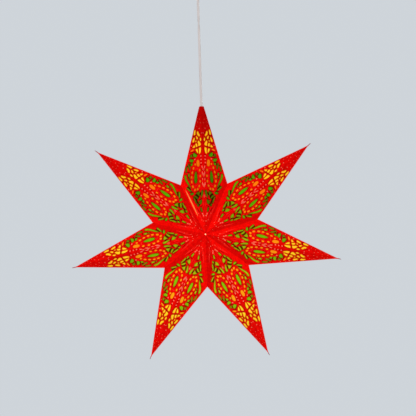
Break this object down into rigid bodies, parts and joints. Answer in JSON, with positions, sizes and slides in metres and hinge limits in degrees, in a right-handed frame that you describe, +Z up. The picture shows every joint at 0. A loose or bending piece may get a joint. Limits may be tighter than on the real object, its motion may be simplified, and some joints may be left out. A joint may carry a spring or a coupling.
{
  "type": "paper star lantern",
  "caption": "Hanging seven-pointed folding paper star lantern with a pierced pattern, lit from inside by a bulb on a pendant cord below a ceiling rose.",
  "frame": {"origin": "centre of the ceiling plate's top face, on the ceiling, straight above the star", "axes": "+Z up along the hanging cord; -Y is the front face of the star, with +X to the right as seen from the front"},
  "size_m": [0.5992, 0.1832, 0.8672],
  "materials": {
    "red_paper": "handmade red paper with coloured tissue behind its cut-outs",
    "cord_sheath": "pale grey twin flex",
    "thread": "pale cotton thread",
    "holder_plastic": "white moulded plastic",
    "clear_plastic": "natural nylon",
    "brass": "plain brass",
    "steel": "zinc plated steel",
    "bulb_glass": "clear glass",
    "stem_glass": "clear glass",
    "tungsten": "wire",
    "black_glass": "black insulator",
    "rose_plastic": "white moulded plastic"
  },
  "bodies": {
    "rose": {"rose_cup": "rose_plastic", "rose_strap": "steel", "rose_screws": "steel", "terminal_block": "clear_plastic", "terminal_screws": "brass", "lead_in_rose": "cord_sheath", "cord_gland": "holder_plastic"},
    "swing_ball": {"swing_ball": "clear_plastic"},
    "cord": {"pendant_cord": "cord_sheath", "cord_stop": "clear_plastic", "holder_body": "holder_plastic", "holder_cap": "holder_plastic", "holder_insert": "rose_plastic", "holder_terminals": "brass", "thread_shell": "brass", "centre_contact": "brass"},
    "bulb": {"bulb_glass": "bulb_glass", "bulb_cap": "brass", "bulb_insulator": "black_glass", "bulb_contact": "brass", "bulb_stem": "stem_glass", "filament": "tungsten"},
    "star": {"top_collar": "red_paper"},
    "point1_front_right": {"point1_front_right": "red_paper"},
    "point1_front_left": {"point1_front_left": "red_paper"},
    "point1_back_right": {"point1_back_right": "red_paper"},
    "point1_back_left": {"point1_back_left": "red_paper"},
    "point2": {"point2_tip": "red_paper"},
    "point2_front_right": {"point2_front_right": "red_paper"},
    "point2_front_left": {"point2_front_left": "red_paper"},
    "point2_back_right": {"point2_back_right": "red_paper"},
    "point2_back_left": {"point2_back_left": "red_paper"},
    "point3": {"point3_tip": "red_paper"},
    "point3_front_right": {"point3_front_right": "red_paper"},
    "point3_front_left": {"point3_front_left": "red_paper"},
    "point3_back_right": {"point3_back_right": "red_paper"},
    "point3_back_left": {"point3_back_left": "red_paper"},
    "point4": {"point4_tip": "red_paper"},
    "point4_front_right": {"point4_front_right": "red_paper"},
    "point4_front_left": {"point4_front_left": "red_paper"},
    "point4_back_right": {"point4_back_right": "red_paper"},
    "point4_back_left": {"point4_back_left": "red_paper"},
    "point5": {"point5_tip": "red_paper"},
    "point5_front_right": {"point5_front_right": "red_paper"},
    "point5_front_left": {"point5_front_left": "red_paper"},
    "point5_back_right": {"point5_back_right": "red_paper"},
    "point5_back_left": {"point5_back_left": "red_paper"},
    "point6": {"point6_tip": "red_paper"},
    "point6_front_right": {"point6_front_right": "red_paper"},
    "point6_front_left": {"point6_front_left": "red_paper"},
    "point6_back_right": {"point6_back_right": "red_paper"},
    "point6_back_left": {"point6_back_left": "red_paper"},
    "point7": {"point7_tip": "red_paper"},
    "point7_front_right": {"point7_front_right": "red_paper", "seam_knot_front": "thread"},
    "point7_front_left": {"point7_front_left": "red_paper"},
    "point7_back_right": {"point7_back_right": "red_paper", "seam_knot_back": "thread"},
    "point7_back_left": {"point7_back_left": "red_paper"}
  },
  "joints": [
    {"name": "cord_side_swing", "type": "hinge", "parent": "rose", "child": "swing_ball", "pos_m": [0, 0, -0.046], "axis": [0, 1, 0], "range_deg": [-15, 15]},
    {"name": "cord_front_swing", "type": "hinge", "parent": "swing_ball", "child": "cord", "pos_m": [0, 0, -0.046], "axis": [1, 0, 0], "range_deg": [-15, 15]},
    {"name": "bulb_unscrew", "type": "hinge", "parent": "cord", "child": "bulb", "pos_m": [0, 0, -0.59], "axis": [0, 0, -1], "range_deg": [0, 1080]},
    {"name": "star_turn", "type": "hinge", "parent": "cord", "child": "star", "pos_m": [0, 0, -0.3189], "axis": [0, 0, 1], "continuous": true},
    {"name": "point1_front_right_fold", "type": "hinge", "parent": "star", "child": "point1_front_right", "pos_m": [0, 0, -0.29], "axis": [-0.1986, 0.3262, 0.9242], "range_deg": [0, 28.51]},
    {"name": "point1_front_left_fold", "type": "hinge", "parent": "star", "child": "point1_front_left", "pos_m": [0, 0, -0.29], "axis": [-0.1986, -0.3262, -0.9242], "range_deg": [0, 28.51]},
    {"name": "point1_back_right_fold", "type": "hinge", "parent": "star", "child": "point1_back_right", "pos_m": [0, 0, -0.29], "axis": [0.1986, 0.3262, -0.9242], "range_deg": [0, 28.51]},
    {"name": "point1_back_left_fold", "type": "hinge", "parent": "star", "child": "point1_back_left", "pos_m": [0, 0, -0.29], "axis": [0.1986, -0.3262, 0.9242], "range_deg": [0, 28.51]},
    {"name": "point2_fold", "type": "hinge", "parent": "star", "child": "point2", "pos_m": [0, 0, -0.59], "axis": [0, -1, 0], "range_deg": [0, 27.44]},
    {"name": "point2_front_right_fold", "type": "hinge", "parent": "point2", "child": "point2_front_right", "pos_m": [0.23455, 0, -0.40295], "axis": [0.5987, 0.3262, 0.7315], "range_deg": [0, 28.51]},
    {"name": "point2_front_left_fold", "type": "hinge", "parent": "point2", "child": "point2_front_left", "pos_m": [0.23455, 0, -0.40295], "axis": [-0.8464, -0.3262, -0.421], "range_deg": [0, 28.51]},
    {"name": "point2_back_right_fold", "type": "hinge", "parent": "point2", "child": "point2_back_right", "pos_m": [0.23455, 0, -0.40295], "axis": [-0.5987, 0.3262, -0.7315], "range_deg": [0, 28.51]},
    {"name": "point2_back_left_fold", "type": "hinge", "parent": "point2", "child": "point2_back_left", "pos_m": [0.23455, 0, -0.40295], "axis": [0.8464, -0.3262, 0.421], "range_deg": [0, 28.51]},
    {"name": "point3_fold", "type": "hinge", "parent": "star", "child": "point3", "pos_m": [0, 0, -0.59], "axis": [0, -1, 0], "range_deg": [0, 54.87]},
    {"name": "point3_front_right_fold", "type": "hinge", "parent": "point3", "child": "point3_front_right", "pos_m": [0.29248, 0, -0.65676], "axis": [0.9452, 0.3262, -0.012], "range_deg": [0, 28.51]},
    {"name": "point3_front_left_fold", "type": "hinge", "parent": "point3", "child": "point3_front_left", "pos_m": [0.29248, 0, -0.65676], "axis": [-0.8568, -0.3262, 0.3993], "range_deg": [0, 28.51]},
    {"name": "point3_back_right_fold", "type": "hinge", "parent": "point3", "child": "point3_back_right", "pos_m": [0.29248, 0, -0.65676], "axis": [-0.9452, 0.3262, 0.012], "range_deg": [0, 28.51]},
    {"name": "point3_back_left_fold", "type": "hinge", "parent": "point3", "child": "point3_back_left", "pos_m": [0.29248, 0, -0.65676], "axis": [0.8568, -0.3262, -0.3993], "range_deg": [0, 28.51]},
    {"name": "point4_fold", "type": "hinge", "parent": "star", "child": "point4", "pos_m": [0, 0, -0.59], "axis": [0, -1, 0], "range_deg": [0, 82.3]},
    {"name": "point4_front_right_fold", "type": "hinge", "parent": "point4", "child": "point4_front_right", "pos_m": [0.13017, 0, -0.86029], "axis": [0.5799, 0.3262, -0.7465], "range_deg": [0, 28.51]},
    {"name": "point4_front_left_fold", "type": "hinge", "parent": "point4", "child": "point4_front_left", "pos_m": [0.13017, 0, -0.86029], "axis": [-0.2221, -0.3262, 0.9188], "range_deg": [0, 28.51]},
    {"name": "point4_back_right_fold", "type": "hinge", "parent": "point4", "child": "point4_back_right", "pos_m": [0.13017, 0, -0.86029], "axis": [-0.5799, 0.3262, 0.7465], "range_deg": [0, 28.51]},
    {"name": "point4_back_left_fold", "type": "hinge", "parent": "point4", "child": "point4_back_left", "pos_m": [0.13017, 0, -0.86029], "axis": [0.2221, -0.3262, -0.9188], "range_deg": [0, 28.51]},
    {"name": "point5_fold", "type": "hinge", "parent": "star", "child": "point5", "pos_m": [0, 0, -0.59], "axis": [0, -1, 0], "range_deg": [0, 109.72]},
    {"name": "point5_front_right_fold", "type": "hinge", "parent": "point5", "child": "point5_front_right", "pos_m": [-0.13017, 0, -0.86029], "axis": [-0.2221, 0.3262, -0.9188], "range_deg": [0, 28.51]},
    {"name": "point5_front_left_fold", "type": "hinge", "parent": "point5", "child": "point5_front_left", "pos_m": [-0.13017, 0, -0.86029], "axis": [0.5799, -0.3262, 0.7465], "range_deg": [0, 28.51]},
    {"name": "point5_back_right_fold", "type": "hinge", "parent": "point5", "child": "point5_back_right", "pos_m": [-0.13017, 0, -0.86029], "axis": [0.2221, 0.3262, 0.9188], "range_deg": [0, 28.51]},
    {"name": "point5_back_left_fold", "type": "hinge", "parent": "point5", "child": "point5_back_left", "pos_m": [-0.13017, 0, -0.86029], "axis": [-0.5799, -0.3262, -0.7465], "range_deg": [0, 28.51]},
    {"name": "point6_fold", "type": "hinge", "parent": "star", "child": "point6", "pos_m": [0, 0, -0.59], "axis": [0, -1, 0], "range_deg": [0, 137.15]},
    {"name": "point6_front_right_fold", "type": "hinge", "parent": "point6", "child": "point6_front_right", "pos_m": [-0.29248, 0, -0.65676], "axis": [-0.8568, 0.3262, -0.3993], "range_deg": [0, 28.51]},
    {"name": "point6_front_left_fold", "type": "hinge", "parent": "point6", "child": "point6_front_left", "pos_m": [-0.29248, 0, -0.65676], "axis": [0.9452, -0.3262, 0.012], "range_deg": [0, 28.51]},
    {"name": "point6_back_right_fold", "type": "hinge", "parent": "point6", "child": "point6_back_right", "pos_m": [-0.29248, 0, -0.65676], "axis": [0.8568, 0.3262, 0.3993], "range_deg": [0, 28.51]},
    {"name": "point6_back_left_fold", "type": "hinge", "parent": "point6", "child": "point6_back_left", "pos_m": [-0.29248, 0, -0.65676], "axis": [-0.9452, -0.3262, -0.012], "range_deg": [0, 28.51]},
    {"name": "star_fold", "type": "hinge", "parent": "star", "child": "point7", "pos_m": [0, 0, -0.59], "axis": [0, -1, 0], "range_deg": [0, 164.57]},
    {"name": "point7_front_right_fold", "type": "hinge", "parent": "point7", "child": "point7_front_right", "pos_m": [-0.23455, 0, -0.40295], "axis": [-0.8464, 0.3262, 0.421], "range_deg": [0, 28.51]},
    {"name": "point7_front_left_fold", "type": "hinge", "parent": "point7", "child": "point7_front_left", "pos_m": [-0.23455, 0, -0.40295], "axis": [0.5987, -0.3262, -0.7315], "range_deg": [0, 28.51]},
    {"name": "point7_back_right_fold", "type": "hinge", "parent": "point7", "child": "point7_back_right", "pos_m": [-0.23455, 0, -0.40295], "axis": [0.8464, 0.3262, -0.421], "range_deg": [0, 28.51]},
    {"name": "point7_back_left_fold", "type": "hinge", "parent": "point7", "child": "point7_back_left", "pos_m": [-0.23455, 0, -0.40295], "axis": [-0.5987, -0.3262, 0.7315], "range_deg": [0, 28.51]}
  ],
  "couplings": [
    {"joint": "point1_front_right_fold", "follows": "star_fold", "ratio": 0.17321},
    {"joint": "point1_front_left_fold", "follows": "star_fold", "ratio": 0.17321},
    {"joint": "point1_back_right_fold", "follows": "star_fold", "ratio": 0.17321},
    {"joint": "point1_back_left_fold", "follows": "star_fold", "ratio": 0.17321},
    {"joint": "point2_fold", "follows": "star_fold", "ratio": 0.16667},
    {"joint": "point2_front_right_fold", "follows": "star_fold", "ratio": 0.17321},
    {"joint": "point2_front_left_fold", "follows": "star_fold", "ratio": 0.17321},
    {"joint": "point2_back_right_fold", "follows": "star_fold", "ratio": 0.17321},
    {"joint": "point2_back_left_fold", "follows": "star_fold", "ratio": 0.17321},
    {"joint": "point3_fold", "follows": "star_fold", "ratio": 0.33333},
    {"joint": "point3_front_right_fold", "follows": "star_fold", "ratio": 0.17321},
    {"joint": "point3_front_left_fold", "follows": "star_fold", "ratio": 0.17321},
    {"joint": "point3_back_right_fold", "follows": "star_fold", "ratio": 0.17321},
    {"joint": "point3_back_left_fold", "follows": "star_fold", "ratio": 0.17321},
    {"joint": "point4_fold", "follows": "star_fold", "ratio": 0.5},
    {"joint": "point4_front_right_fold", "follows": "star_fold", "ratio": 0.17321},
    {"joint": "point4_front_left_fold", "follows": "star_fold", "ratio": 0.17321},
    {"joint": "point4_back_right_fold", "follows": "star_fold", "ratio": 0.17321},
    {"joint": "point4_back_left_fold", "follows": "star_fold", "ratio": 0.17321},
    {"joint": "point5_fold", "follows": "star_fold", "ratio": 0.66667},
    {"joint": "point5_front_right_fold", "follows": "star_fold", "ratio": 0.17321},
    {"joint": "point5_front_left_fold", "follows": "star_fold", "ratio": 0.17321},
    {"joint": "point5_back_right_fold", "follows": "star_fold", "ratio": 0.17321},
    {"joint": "point5_back_left_fold", "follows": "star_fold", "ratio": 0.17321},
    {"joint": "point6_fold", "follows": "star_fold", "ratio": 0.83333},
    {"joint": "point6_front_right_fold", "follows": "star_fold", "ratio": 0.17321},
    {"joint": "point6_front_left_fold", "follows": "star_fold", "ratio": 0.17321},
    {"joint": "point6_back_right_fold", "follows": "star_fold", "ratio": 0.17321},
    {"joint": "point6_back_left_fold", "follows": "star_fold", "ratio": 0.17321},
    {"joint": "point7_front_right_fold", "follows": "star_fold", "ratio": 0.17321},
    {"joint": "point7_front_left_fold", "follows": "star_fold", "ratio": 0.17321},
    {"joint": "point7_back_right_fold", "follows": "star_fold", "ratio": 0.17321},
    {"joint": "point7_back_left_fold", "follows": "star_fold", "ratio": 0.17321}
  ]
}
